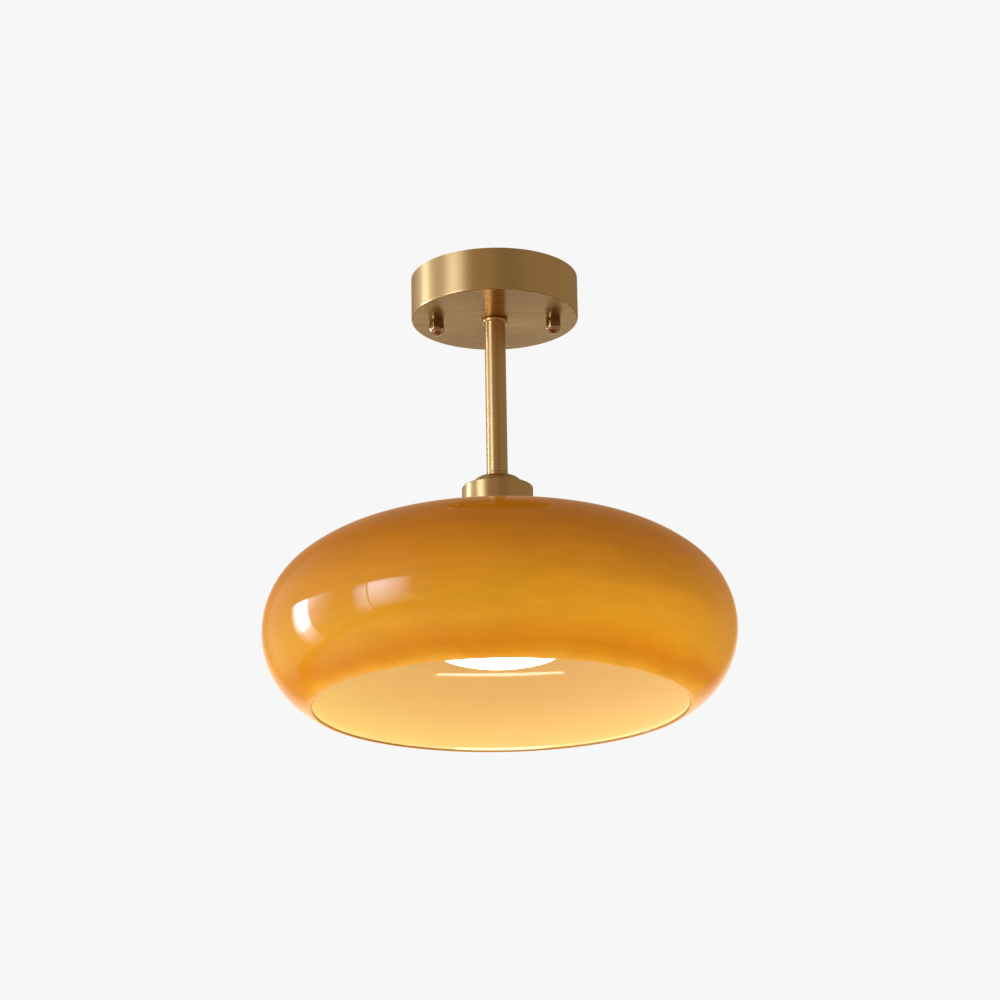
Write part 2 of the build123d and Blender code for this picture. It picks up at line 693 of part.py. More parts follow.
def shade_ring():
    """Threaded ring with a flange under the glass and a ribbed collar to turn it by."""
    flange_z = lower_seal_z - SHADE_RING_FLANGE_T
    collar_z_end = flange_z - SHADE_RING_COLLAR_H
    flange = turned(
        (0, flange_z),
        (shade_ring_r + SHADE_RING_FLANGE, flange_z, 0.8),
        (shade_ring_r + SHADE_RING_FLANGE, lower_seal_z, 0.4),
        (0, lower_seal_z),
    )
    collar = Pos(0, 0, collar_z_end) * ribbed_disc(
        shade_ring_r + SHADE_RING_RIB, SHADE_RING_RIBS, SHADE_RING_RIB, SHADE_RING_COLLAR_H
    )
    return flange + collar - rod(shade_ring_bore_r, lower_seal_z, collar_z_end)


def bulb_tip():
    """Domed solder contact on the bulb's end."""
    return turned(
        (0, bulb_insulator_z),
        (BULB_TIP_D / 2, bulb_insulator_z),
        (BULB_TIP_D / 2, bulb_tip_z, BULB_TIP_H * 0.8),
        (0, bulb_tip_z),
    )


def bulb_insulator():
    """Black cone between the tip and the screw cap."""
    return turned(
        (0, bulb_cap_top_z),
        (bulb_cap_r - BULB_CAP_T - 1.2, bulb_cap_top_z),
        (BULB_TIP_D / 2 + 0.6, bulb_insulator_z),
        (0, bulb_insulator_z),
    )


def bulb_screw_cap():
    """Thin metal screw cap, drawn in at the top to hold the insulator."""
    inner_r = bulb_cap_r - BULB_CAP_T
    mouth_r = inner_r - 1.2
    return turned(
        (inner_r, bulb_cap_z),
        (bulb_cap_r, bulb_cap_z),
        (bulb_cap_r, bulb_cap_top_z - 1.6),
        (mouth_r + BULB_CAP_T, bulb_cap_top_z),
        (mouth_r - 1.0, bulb_cap_top_z),
        (mouth_r - 1.0, bulb_cap_top_z - BULB_CAP_T),
        (mouth_r, bulb_cap_top_z - BULB_CAP_T),
        (inner_r, bulb_cap_top_z - 1.6 - BULB_CAP_T),
    )


def bulb_housing():
    """Moulded body: a neck round the screw cap that widens to the rim of the diffuser."""
    neck_r = BULB_NECK_D / 2
    neck_z = bulb_neck_top_z - BULB_NECK_H
    shoulder_z = bulb_rim_z + BULB_RIM_H
    ledge_z = bulb_rim_z + BULB_BOARD_RECESS
    ledge_r = bulb_r - 2 * BULB_WALL
    cap_hole_r = bulb_cap_r + THREAD_CLEARANCE
    return turned(
        (bulb_r - BULB_WALL, bulb_rim_z),
        (bulb_r, bulb_rim_z),
        (bulb_r, shoulder_z, 4.0),
        (neck_r, neck_z, 8.0),
        (neck_r, bulb_neck_top_z, 0.5),
        (cap_hole_r, bulb_neck_top_z),
        (cap_hole_r, bulb_cap_z),
        (neck_r - BULB_WALL, bulb_cap_z),
        (neck_r - BULB_WALL, neck_z - BULB_WALL),
        (ledge_r, shoulder_z - BULB_WALL),
        (ledge_r, ledge_z),
        (bulb_r - BULB_WALL, ledge_z),
    )


def bulb_board():
    """Aluminium board that carries the light emitting chips, on the housing's ledge."""
    ledge_z = bulb_rim_z + BULB_BOARD_RECESS
    return rod(bulb_r - BULB_WALL - THREAD_CLEARANCE, ledge_z, ledge_z - BULB_BOARD_T)


def bulb_diffuser():
    """Opal cover of one wall thickness: a short side, then a shallow dome."""
    dome_r = (bulb_r**2 + DIFFUSER_DOME_H**2) / (2 * DIFFUSER_DOME_H)
    centre_z = diffuser_edge_z - DIFFUSER_DOME_H + dome_r
    inner_r = bulb_r - DIFFUSER_WALL
    inner_dome_r = dome_r - DIFFUSER_WALL
    inner_edge_z = centre_z - math.sqrt(inner_dome_r**2 - inner_r**2)
    outer_angle = math.degrees(math.asin(bulb_r / dome_r))
    inner_angle = math.degrees(math.asin(inner_r / inner_dome_r))
    outline = [
        Line((inner_r, bulb_rim_z), (bulb_r, bulb_rim_z)),
        Line((bulb_r, bulb_rim_z), (bulb_r, diffuser_edge_z)),
        CenterArc((0, centre_z), dome_r, 270, outer_angle),
        Line((0, centre_z - dome_r), (0, centre_z - inner_dome_r)),
        CenterArc((0, centre_z), inner_dome_r, 270, inner_angle),
        Line((inner_r, inner_edge_z), (inner_r, bulb_rim_z)),
    ]
    shell = revolve(Plane.XZ * make_face(outline), Axis.Z)
    rim = shell.edges().filter_by(GeomType.CIRCLE).filter_by(
        lambda edge: abs(edge.radius - bulb_r) < 0.01 and abs(edge.center().Z - diffuser_edge_z) < 0.01
    )
    return fillet(rim, DIFFUSER_EDGE_ROUND)


def swept_lead(name, points, radii):
    """A round lead along straight runs joined by arcs."""
    route = FilletPolyline(*points, radius=radii)
    start = Plane(origin=route @ 0, z_dir=route % 0)
    lead = sweep(start * Circle(LEAD_D / 2), path=route)
    share = lead.volume / (math.pi * LEAD_D**2 / 4 * route.length)
    print(name, "arc radii", [round(radius, 2) for radius in radii], "volume over section", round(share, 4))
    return lead


def corner_radius(before, corner, after, reach=None):
    """Radius of an arc that starts a reach before its corner, or as far as the two runs allow."""
    first = Vector(*corner) - Vector(*before)
    second = Vector(*after) - Vector(*corner)
    half_turn = math.radians(first.get_angle(second) / 2)
    room = 0.45 * min(first.length, second.length)
    return (room if reach is None else reach) / math.tan(half_turn)


def supply_lead(name, side):
    """Lead from its port in the terminal block, down the stem, to its hole in the contact block."""
    stem_y = side * LEAD_SPACING / 2
    port_y = pole_places[0] if side < 0 else pole_places[-1]
    last_reach = LEAD_D * 0.6
    points = [
        (clamp_places[0] + 2.0, port_y, port_z),
        (block_x - 3.5, port_y, port_z),
        (0, stem_y, port_z),
        (0, stem_y, lower_nipple_z - 2 * THREAD_CLEARANCE),
        (0, side * TERMINAL_OFFSET, contact_block_top_z + last_reach),
        (0, side * TERMINAL_OFFSET, holder_cap_z + 0.3),
    ]
    radii = [
        corner_radius(*points[0:3]),
        corner_radius(*points[1:4]),
        corner_radius(*points[2:5]),
        corner_radius(*points[3:6], reach=last_reach),
    ]
    return swept_lead(name, points, radii)


def earth_lead():
    """Lead from the middle port, round under the block, to the earth tag on the canopy floor."""
    turn_x = stud_x - stud_nut_corner_r - LEAD_D / 2 - 0.35
    points = [
        (clamp_places[1] - 2.0, 0, port_z),
        (turn_x, 0, port_z),
        (turn_x, 0, barrel_z()),
        (barrel_x() + 0.5, 0, barrel_z()),
    ]
    radius = turn_x - block_end_x - 1.0
    return swept_lead("earth_lead", points, [radius, radius])


sub_parts = {
    "ceiling_bracket": ceiling_bracket(),
    "bracket_stud_left": bracket_stud(-1),
    "bracket_stud_right": bracket_stud(1),
    "stud_lock_nuts": stud_lock_nuts(),
    "canopy": canopy(),
    "cap_nut_left": cap_nut(-1),
    "cap_nut_right": cap_nut(1),
    "terminal_block": terminal_block(),
    "terminal_inserts": terminal_inserts(),
    "terminal_screws": terminal_screws(),
    "block_fixing_screw": block_fixing_screw(),
    "canopy_lock_nut": canopy_lock_nut(),
    "star_washer": star_washer(),
    "earth_tag": earth_tag(),
    "upper_nipple": nipple(canopy_nut_top_z + NIPPLE_END, stem_ring_z - NIPPLE_IN_STEM),
    "stem_ring": stem_ring(),
    "stem_tube": stem_tube(),
    "stem_collar": stem_collar(),
    "lower_nipple": nipple(stem_z + NIPPLE_IN_STEM, lower_nipple_z),
    "lampholder_cover": lampholder_cover(),
    "holder_cap": holder_cap(),
    "holder_lock_nut": holder_lock_nut(),
    "contact_block": contact_block(),
    "holder_terminal_screws": holder_terminal_screws(),
    "socket_shell": socket_shell(),
    "centre_contact": centre_contact(),
    "holder_sleeve": holder_sleeve(),
    "upper_seal": upper_seal(),
    "glass_shade": glass_shade(),
    "lower_seal": lower_seal(),
    "shade_ring": shade_ring(),
    "live_lead": supply_lead("live_lead", -1),
    "neutral_lead": supply_lead("neutral_lead", 1),
    "earth_lead": earth_lead(),
    "bulb_tip": bulb_tip(),
    "bulb_insulator": bulb_insulator(),
    "bulb_screw_cap": bulb_screw_cap(),
    "bulb_housing": bulb_housing(),
    "bulb_board": bulb_board(),
    "bulb_diffuser": bulb_diffuser(),
}

os.makedirs("parts", exist_ok=True)
for name, solid in sub_parts.items():
    export_step(solid, f"parts/{name}.step")
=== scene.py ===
import math

import bpy
import numpy as np
from mathutils import Matrix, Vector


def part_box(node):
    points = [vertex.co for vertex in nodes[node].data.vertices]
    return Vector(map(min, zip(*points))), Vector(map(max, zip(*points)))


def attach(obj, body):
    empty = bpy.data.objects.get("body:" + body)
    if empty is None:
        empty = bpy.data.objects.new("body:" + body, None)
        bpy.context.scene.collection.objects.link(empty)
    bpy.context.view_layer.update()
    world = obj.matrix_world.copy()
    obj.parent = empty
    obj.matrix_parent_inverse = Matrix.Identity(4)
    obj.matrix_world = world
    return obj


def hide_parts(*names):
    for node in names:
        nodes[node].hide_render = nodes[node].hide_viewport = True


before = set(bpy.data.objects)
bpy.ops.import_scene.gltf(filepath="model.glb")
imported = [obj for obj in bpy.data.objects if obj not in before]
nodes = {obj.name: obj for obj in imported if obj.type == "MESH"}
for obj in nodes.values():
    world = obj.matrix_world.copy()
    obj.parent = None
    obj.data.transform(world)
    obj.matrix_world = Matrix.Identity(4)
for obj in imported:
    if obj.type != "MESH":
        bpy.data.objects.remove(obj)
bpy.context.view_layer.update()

scene = bpy.context.scene
scene.view_settings.view_transform = "Standard"


# The camera stands in front of the light and below it, about where a person in the room looks up.
# Its place, tilt and lens put the canopy, the stem and the shade where they are seen.
CAMERA_PLACE = (0.0, -1.683, -0.693)
CAMERA_PITCH = 0.3176
CAMERA_YAW = 0.0008
CAMERA_ROLL = 0.0165
SENSOR_WIDTH = 36.0
LENS = 108.3


def camera_axes(pitch, yaw, roll):
    """The camera's right, up and backward directions: a level pair, turned by roll about the line
    of sight (sin yaw cos pitch, cos yaw cos pitch, sin pitch)."""
    level = math.cos(pitch)
    ahead = np.array([math.sin(yaw) * level, math.cos(yaw) * level, math.sin(pitch)])
    level_right = np.array([math.cos(yaw), -math.sin(yaw), 0.0])
    level_up = np.cross(level_right, ahead)
    right = math.cos(roll) * level_right - math.sin(roll) * level_up
    up = math.sin(roll) * level_right + math.cos(roll) * level_up
    return right, up, -ahead


lens = bpy.data.cameras.new("camera")
lens.sensor_width = SENSOR_WIDTH
lens.lens = LENS
camera = bpy.data.objects.new("camera", lens)
scene.collection.objects.link(camera)
axes = np.array(camera_axes(CAMERA_PITCH, CAMERA_YAW, CAMERA_ROLL)).T
camera.matrix_world = Matrix.Translation(CAMERA_PLACE) @ Matrix(axes.tolist()).to_4x4()
scene.camera = camera


# The room: a pale plain backdrop, and soft light that is dimmer from the ceiling and from the
# right, so that turned metal shows a light and a dark side. The stops of ROOM_SIDES are directions
# from left (-1) to right (1). The floor is pale and takes the shadow.
BACKDROP = (0.931, 0.931, 0.931)
ROOM_LIGHT = (0.62, 0.56, 0.50)
ROOM_HALF = (0.38, 0.29, 0.19)
ROOM_SHADE = (0.28, 0.21, 0.14)
ROOM_RIGHT = (0.34, 0.265, 0.175)
ROOM_SIDES = ((-1.0, ROOM_LIGHT), (-0.62, ROOM_LIGHT), (-0.48, ROOM_HALF), (-0.10, ROOM_HALF),
              (0.15, ROOM_SHADE), (0.48, ROOM_SHADE), (0.66, ROOM_RIGHT), (1.0, ROOM_RIGHT))
CEILING_SHADE = (0.24, 0.185, 0.135)
CEILING_RISE = (0.35, 0.9)
BACK_WALL = (0.90, 1.0)
FLOOR_HEIGHT = -1.35
FLOOR_SIZE = 4.8
FLOOR_COLOUR = (0.78, 0.71, 0.60)
FLOOR_ROUGHNESS = 0.9


def add_node(tree, kind, inputs=None, **settings):
    """A node with its settings; each of its inputs is a plain value or another node's output."""
    node = tree.nodes.new(kind)
    for key, value in settings.items():
        setattr(node, key, value)
    for key, value in (inputs or {}).items():
        if isinstance(value, bpy.types.NodeSocket):
            tree.links.new(value, node.inputs[key])
        else:
            node.inputs[key].default_value = value
    return node


def math_node(tree, operation, first, second=0.0, clamp=False):
    """The result of one sum on two values."""
    inputs = {0: first, 1: second}
    return add_node(tree, "ShaderNodeMath", inputs, operation=operation, use_clamp=clamp).outputs[0]


def rescale(tree, value, low, high, to_low=0.0, to_high=1.0):
    """The value carried from the range low to high onto a new range, and held inside it."""
    inputs = {"Value": value, "From Min": low, "From Max": high, "To Min": to_low,
              "To Max": to_high}
    return add_node(tree, "ShaderNodeMapRange", inputs).outputs["Result"]


def mix_colours(tree, share, first, second, blend="MIX"):
    """Two colours mixed by a share between 0 and 1."""
    node = add_node(tree, "ShaderNodeMix", data_type="RGBA", blend_type=blend)
    for index, value in ((0, share), (6, first), (7, second)):
        socket = node.inputs[index]
        if isinstance(value, bpy.types.NodeSocket):
            tree.links.new(value, socket)
        elif socket.type == "RGBA":
            socket.default_value = (*value, 1.0)
        else:
            socket.default_value = value
    return node.outputs[2]


def colour_ramp(tree, value, stops):
    """The colour that belongs to a value between 0 and 1, from pairs of (value, colour)."""
    ramp = add_node(tree, "ShaderNodeValToRGB", {"Fac": value})
    elements = ramp.color_ramp.elements
    while len(elements) < len(stops):
        elements.new(0.5)
    for element, (where, colour) in zip(elements, stops):
        element.position = where
        element.color = (*colour, 1.0)
    return ramp.outputs["Color"]


world = bpy.data.worlds.new("room")
world.use_nodes = True
scene.world = world
air = world.node_tree
direction = add_node(air, "ShaderNodeTexCoord").outputs["Generated"]
towards = add_node(air, "ShaderNodeSeparateXYZ", {0: direction})
from_right = rescale(air, towards.outputs["X"], -1.0, 1.0)
from_above = rescale(air, towards.outputs["Z"], *CEILING_RISE)
from_back = rescale(air, towards.outputs["Y"], *BACK_WALL)
side_light = colour_ramp(air, from_right, [((1 + x) / 2, colour) for x, colour in ROOM_SIDES])
side_light = mix_colours(air, from_above, side_light, CEILING_SHADE)
rays = add_node(air, "ShaderNodeLightPath").outputs
mirrored = math_node(air, "MULTIPLY", rays["Is Glossy Ray"], from_back)
seen = math_node(air, "MAXIMUM", rays["Is Camera Ray"], rays["Is Transmission Ray"])
seen = math_node(air, "MAXIMUM", seen, mirrored)
room_colour = mix_colours(air, seen, side_light, BACKDROP)
air.links.new(room_colour, air.nodes["Background"].inputs["Color"])

half = FLOOR_SIZE / 2
floor_mesh = bpy.data.meshes.new("floor")
corners = [(x * half, y * half, FLOOR_HEIGHT) for x, y in ((-1, -1), (1, -1), (1, 1), (-1, 1))]
floor_mesh.from_pydata(corners, [], [(0, 1, 2, 3)])
floor = bpy.data.objects.new("floor", floor_mesh)
scene.collection.objects.link(floor)
plaster = bpy.data.materials.new("floor_plaster")
plaster.use_nodes = True
plaster_shader = plaster.node_tree.nodes["Principled BSDF"]
plaster_shader.inputs["Base Color"].default_value = (*FLOOR_COLOUR, 1.0)
plaster_shader.inputs["Roughness"].default_value = FLOOR_ROUGHNESS
floor_mesh.materials.append(plaster)


# The windows of the room, all on the left, each a panel that stands upright round the light. The
# first is a bright strip with a sheer curtain beside it, and the second a wide one behind a bar.
# Turn and rise are in degrees, and across and up are profiles of the light over the panel.
WINDOW_DISTANCE = 2.2
WINDOW_CENTRE_HEIGHT = -0.225
DAYLIGHT = (0.88, 1.0, 1.22)
WINDOWS = {
    "bright_window": {"turn": (-113, -99), "rise": (-26.5, 12), "radiance": 23.0,
                      "across": ((0.0, 0.0), (0.25, 0.35), (0.42, 1.0), (0.85, 1.0), (1.0, 0.3)),
                      "up": ((0.0, 0.0), (0.2, 0.06), (0.42, 0.25), (0.6, 1.0), (0.97, 1.0),
                             (1.0, 0.0))},
    "bright_window_curtain": {"turn": (-99, -80), "rise": (-16, 12), "radiance": 5.5,
                              "across": ((0.0, 1.0), (0.3, 0.6), (0.7, 0.2), (1.0, 0.0)),
                              "up": ((0.0, 0.0), (0.5, 0.4), (0.93, 1.0), (1.0, 0.0))},
    "wide_window_edge": {"turn": (-71, -62.5), "rise": (-21, 11), "radiance": 8.0,
                         "across": ((0.0, 0.0), (0.5, 0.6), (0.8, 0.8), (0.95, 1.0), (1.0, 0.5)),
                         "up": ((0.0, 0.0), (0.3, 0.6), (0.8, 1.0), (1.0, 0.0))},
    "wide_window": {"turn": (-61.9, -39), "rise": (-19, 11), "radiance": 12.0,
                    "across": ((0.0, 0.5), (0.03, 0.85), (0.35, 0.8), (0.6, 0.55), (1.0, 0.0)),
                    "up": ((0.0, 0.0), (0.35, 0.5), (0.8, 1.0), (0.93, 0.9), (1.0, 0.0))},
}


def fading_panel(panel, across, up):
    """Makes a panel's light the product of two profiles, one across it and one up it."""
    panel.use_nodes = True
    tree = panel.node_tree
    spot = add_node(tree, "ShaderNodeNewGeometry").outputs["Parametric"]
    parts = add_node(tree, "ShaderNodeSeparateXYZ", {0: spot}).outputs
    shares = [colour_ramp(tree, parts[axis], [(where, (share,) * 3) for where, share in profile])
              for axis, profile in (("X", across), ("Y", up))]
    glow = mix_colours(tree, 1.0, *shares, blend="MULTIPLY")
    tree.links.new(glow, tree.nodes["Emission"].inputs["Strength"])


for name, window in WINDOWS.items():
    left, right = (math.radians(turn) for turn in window["turn"])
    low, high = (WINDOW_DISTANCE * math.tan(math.radians(rise)) for rise in window["rise"])
    width = 2 * WINDOW_DISTANCE * math.tan((right - left) / 2)
    panel = bpy.data.lights.new(name, "AREA")
    panel.shape = "RECTANGLE"
    panel.size, panel.size_y = width, high - low
    panel.color = DAYLIGHT
    panel.energy = window["radiance"] * math.pi * width * (high - low)
    fading_panel(panel, window["across"], window["up"])
    lamp = bpy.data.objects.new(name, panel)
    middle = (left + right) / 2
    lamp.location = (WINDOW_DISTANCE * math.sin(middle), -WINDOW_DISTANCE * math.cos(middle),
                     WINDOW_CENTRE_HEIGHT + (low + high) / 2)
    lamp.rotation_euler = (math.pi / 2, 0.0, middle)
    scene.collection.objects.link(lamp)


# The ceiling bracket, its two studs and their lock nuts. They are pressed and turned from mild
# steel and bright zinc plated; the bracket is screwed to the ceiling and the studs hang from it.
ZINC = (0.60, 0.62, 0.64)
ZINC_DULL = (0.42, 0.43, 0.45)
STUD_X = 0.035
STUD_THREAD = {"pitch": 0.0007, "below": -0.0053, "outside": 0.0}
STUD_THREAD_DEPTH = 0.0003


def new_finish(name, metallic=0.0, ior=1.5):
    """A material with its node tree, its shader, and the place of each point on the object."""
    material = bpy.data.materials.new(name)
    material.use_nodes = True
    tree = material.node_tree
    shader = tree.nodes["Principled BSDF"]
    shader.inputs["Metallic"].default_value = metallic
    shader.inputs["IOR"].default_value = ior
    place = add_node(tree, "ShaderNodeTexCoord").outputs["Object"]
    return material, tree, shader, place


def speckle(tree, place, per_metre, detail=3.0, roughness=0.55, stretch=(1.0, 1.0, 1.0)):
    """Noise between 0 and 1 with so many grains to the metre, drawn out along an axis where its
    stretch is below 1 and packed where it is above."""
    drawn = add_node(tree, "ShaderNodeMapping", {"Vector": place, "Scale": stretch}).outputs[0]
    inputs = {"Vector": drawn, "Scale": per_metre, "Detail": detail, "Roughness": roughness}
    return add_node(tree, "ShaderNodeTexNoise", inputs).outputs["Fac"]


def colour_between(tree, shader, share, first, second):
    """Gives the shader a base colour that goes from the first to the second with the share."""
    tree.links.new(mix_colours(tree, share, first, second), shader.inputs["Base Color"])


def gloss_between(tree, shader, share, first, second):
    """Gives the shader a roughness that goes from the first to the second with the share."""
    tree.links.new(rescale(tree, share, 0.0, 1.0, first, second), shader.inputs["Roughness"])


def relief(tree, shader, height, depth, strength=1.0):
    """Bends the shading as if the height, from 0 to 1, stood out by so many metres."""
    inputs = {"Height": height, "Distance": depth, "Strength": strength}
    tree.links.new(add_node(tree, "ShaderNodeBump", inputs).outputs[0], shader.inputs["Normal"])


def place_round(tree, place, axis_x=0.0):
    """The place measured from an upright axis, split into x, y and z, and its distance from it."""
    inputs = {"Vector": place, "Location": (-axis_x, 0.0, 0.0)}
    centred = add_node(tree, "ShaderNodeMapping", inputs).outputs[0]
    parts = add_node(tree, "ShaderNodeSeparateXYZ", {0: centred}).outputs
    flat = add_node(tree, "ShaderNodeCombineXYZ", {"X": parts["X"], "Y": parts["Y"]}).outputs[0]
    length = add_node(tree, "ShaderNodeVectorMath", {0: flat}, operation="LENGTH")
    return parts, length.outputs["Value"]


def screw_thread(tree, place, axis_x, pitch, below, outside):
    """A thread's height from 0 to 1: a triangle wave of z / pitch less the turn round the screw's
    axis, kept to the stretch below a height and outside a radius."""
    parts, radius = place_round(tree, place, axis_x)
    angle = math_node(tree, "ARCTAN2", parts["Y"], parts["X"])
    turn = math_node(tree, "DIVIDE", angle, 2 * math.pi)
    phase = math_node(tree, "SUBTRACT", math_node(tree, "DIVIDE", parts["Z"], pitch), turn)
    wave = math_node(tree, "MULTIPLY", math_node(tree, "PINGPONG", phase, 0.5), 2.0)
    kept = math_node(tree, "MULTIPLY", math_node(tree, "LESS_THAN", parts["Z"], below),
                     math_node(tree, "GREATER_THAN", radius, outside))
    return math_node(tree, "MULTIPLY", wave, kept)


def zinc_plate(name, thread=None, thread_depth=0.0):
    """Bright zinc on steel: a clouded grey with faint spangles, and the thread where it has one."""
    material, tree, shader, place = new_finish(name, metallic=1.0)
    clouds = rescale(tree, speckle(tree, place, 260.0), 0.35, 0.65)
    colour_between(tree, shader, clouds, ZINC, ZINC_DULL)
    gloss_between(tree, shader, speckle(tree, place, 900.0), 0.26, 0.46)
    if thread is None:
        relief(tree, shader, speckle(tree, place, 3200.0, detail=2.0), 0.00002, 0.5)
    else:
        relief(tree, shader, screw_thread(tree, place, **thread), thread_depth)
    return material


def dress(name, material):
    """Gives a carried-over solid its finish in place of its flat colour."""
    solid = nodes[name]
    solid.data.materials.clear()
    solid.data.materials.append(material)


zinc = zinc_plate("zinc_plate")
for name in ("ceiling_bracket", "stud_lock_nuts", "block_fixing_screw", "canopy_lock_nut",
             "star_washer", "holder_lock_nut"):
    dress(name, zinc)
for name, stud_x in (("bracket_stud_left", -STUD_X), ("bracket_stud_right", STUD_X)):
    stud_thread = {"axis_x": stud_x, **STUD_THREAD}
    dress(name, zinc_plate(name + "_thread", stud_thread, STUD_THREAD_DEPTH))


# The two nipples: hollow steel tubes, threaded from end to end and zinc plated. The upper one holds
# the canopy on the stem, and the lower one the lampholder; the leads run through both.
NIPPLE_THREAD = {"axis_x": 0.0, "pitch": 0.001, "below": 0.0, "outside": 0.0046}
NIPPLE_THREAD_DEPTH = 0.0004

nipple_zinc = zinc_plate("nipple_thread", NIPPLE_THREAD, NIPPLE_THREAD_DEPTH)
for name in ("upper_nipple", "lower_nipple"):
    dress(name, nipple_zinc)


# The terminal block, moulded in natural nylon, with turned brass inserts and steel screws.
# It is screwed to the bracket and joins the lamp's leads to the supply cable.
NYLON = (0.83, 0.81, 0.75)
NYLON_SHADE = (0.74, 0.71, 0.63)


def moulded(name, light, dark, gloss=(0.35, 0.5), per_metre=180.0, depth=0.00003):
    """A moulded plastic or pressed ceramic: a slight drift of tone over a very fine grain."""
    material, tree, shader, place = new_finish(name)
    colour_between(tree, shader, speckle(tree, place, per_metre), light, dark)
    gloss_between(tree, shader, speckle(tree, place, 5.0 * per_metre), *gloss)
    relief(tree, shader, speckle(tree, place, 12.0 * per_metre, detail=2.0), depth, 0.4)
    return material


dress("terminal_block", moulded("nylon", NYLON, NYLON_SHADE))

CONTACT_BRASS = (0.78, 0.55, 0.25)
CONTACT_TARNISH = (0.50, 0.31, 0.12)
NICKEL = (0.66, 0.63, 0.58)
NICKEL_DULL = (0.52, 0.49, 0.44)


def plain_metal(name, bright, dull, gloss=(0.2, 0.4), per_metre=320.0):
    """Pressed or turned small metal parts: cloudy tone and uneven gloss."""
    material, tree, shader, place = new_finish(name, metallic=1.0)
    clouds = rescale(tree, speckle(tree, place, per_metre), 0.35, 0.7)
    colour_between(tree, shader, clouds, bright, dull)
    gloss_between(tree, shader, speckle(tree, place, 2.6 * per_metre), *gloss)
    relief(tree, shader, speckle(tree, place, 10.0 * per_metre, detail=2.0), 0.00002, 0.4)
    return material


contact_brass = plain_metal("contact_brass", CONTACT_BRASS, CONTACT_TARNISH)
nickel = plain_metal("nickel_plate", NICKEL, NICKEL_DULL, gloss=(0.14, 0.32))
for name in ("terminal_inserts", "earth_tag", "centre_contact"):
    dress(name, contact_brass)
dress("terminal_screws", zinc)
dress("holder_terminal_screws", nickel)


# The canopy, a cup spun from brass sheet and brushed round its axis, then lacquered.
# The stem's ring, tube and collar and the lampholder's cover are turned and brushed the same way.
BRASS = (0.75, 0.53, 0.255)
BRASS_DEEP = (0.69, 0.47, 0.21)
BRASS_FACE = (0.66, 0.44, 0.18)
BRASS_FACE_DEEP = (0.55, 0.345, 0.14)
FACE_EDGE = (0.00002, 0.0004)
FACE_GLOSS = (0.23, 0.31)
SIDE_GLOSS = (0.27, 0.35)
LINES_PER_METRE = (5200.0, 30.0)
LINE_DEPTH = 0.000003
GLINT_STRETCH = 0.8
QUARTER_TURN = 0.25


def brushed_lines(tree, place, across, along):
    """Hair lines that run round the axis: noise of (across r + along x, across z + along y,
    along (x - y)), which is fine across the brushing and slow along it."""
    parts, radius = place_round(tree, place)
    fine_radius = math_node(tree, "MULTIPLY", radius, across)
    fine_height = math_node(tree, "MULTIPLY", parts["Z"], across)
    first = math_node(tree, "ADD", fine_radius, math_node(tree, "MULTIPLY", parts["X"], along))
    second = math_node(tree, "ADD", fine_height, math_node(tree, "MULTIPLY", parts["Y"], along))
    third = math_node(tree, "MULTIPLY", math_node(tree, "SUBTRACT", parts["X"], parts["Y"]), along)
    lines = add_node(tree, "ShaderNodeCombineXYZ", {"X": first, "Y": second, "Z": third}).outputs[0]
    inputs = {"Vector": lines, "Scale": 1.0, "Detail": 3.0, "Roughness": 0.65}
    return add_node(tree, "ShaderNodeTexNoise", inputs).outputs["Fac"]


def brushed_brass(name):
    """Lacquered brass with hair lines round the axis, which draw its highlights out across them.
    The canopy's flat face is brushed straight across and more finely, and is deeper in tone."""
    material, tree, shader, place = new_finish(name, metallic=1.0)
    lines = brushed_lines(tree, place, *LINES_PER_METRE)
    tone = rescale(tree, lines, 0.25, 0.75)
    height = add_node(tree, "ShaderNodeSeparateXYZ", {0: place}).outputs["Z"]
    above_face = math_node(tree, "SUBTRACT", height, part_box("canopy")[0][2])
    off_face = rescale(tree, math_node(tree, "ABSOLUTE", above_face), *FACE_EDGE)
    side_colour = mix_colours(tree, tone, BRASS_DEEP, BRASS)
    strokes = speckle(tree, place, 260.0, detail=4.0, stretch=(0.12, 1.0, 1.0))
    face_colour = mix_colours(tree, rescale(tree, strokes, 0.3, 0.7), BRASS_FACE_DEEP, BRASS_FACE)
    colour = mix_colours(tree, off_face, face_colour, side_colour)
    tree.links.new(colour, shader.inputs["Base Color"])
    inputs = {0: off_face, 2: rescale(tree, lines, 0.0, 1.0, *FACE_GLOSS),
              3: rescale(tree, lines, 0.0, 1.0, *SIDE_GLOSS)}
    rough = add_node(tree, "ShaderNodeMix", inputs, data_type="FLOAT").outputs[0]
    tree.links.new(rough, shader.inputs["Roughness"])
    relief(tree, shader, lines, LINE_DEPTH, 0.5)
    shader.inputs["Anisotropic"].default_value = GLINT_STRETCH
    shader.inputs["Anisotropic Rotation"].default_value = QUARTER_TURN
    tangent = add_node(tree, "ShaderNodeTangent", direction_type="RADIAL", axis="Z")
    tree.links.new(tangent.outputs[0], shader.inputs["Tangent"])
    return material


brass = brushed_brass("brushed_brass")
for name in ("canopy", "stem_ring", "stem_tube", "stem_collar", "lampholder_cover"):
    dress(name, brass)


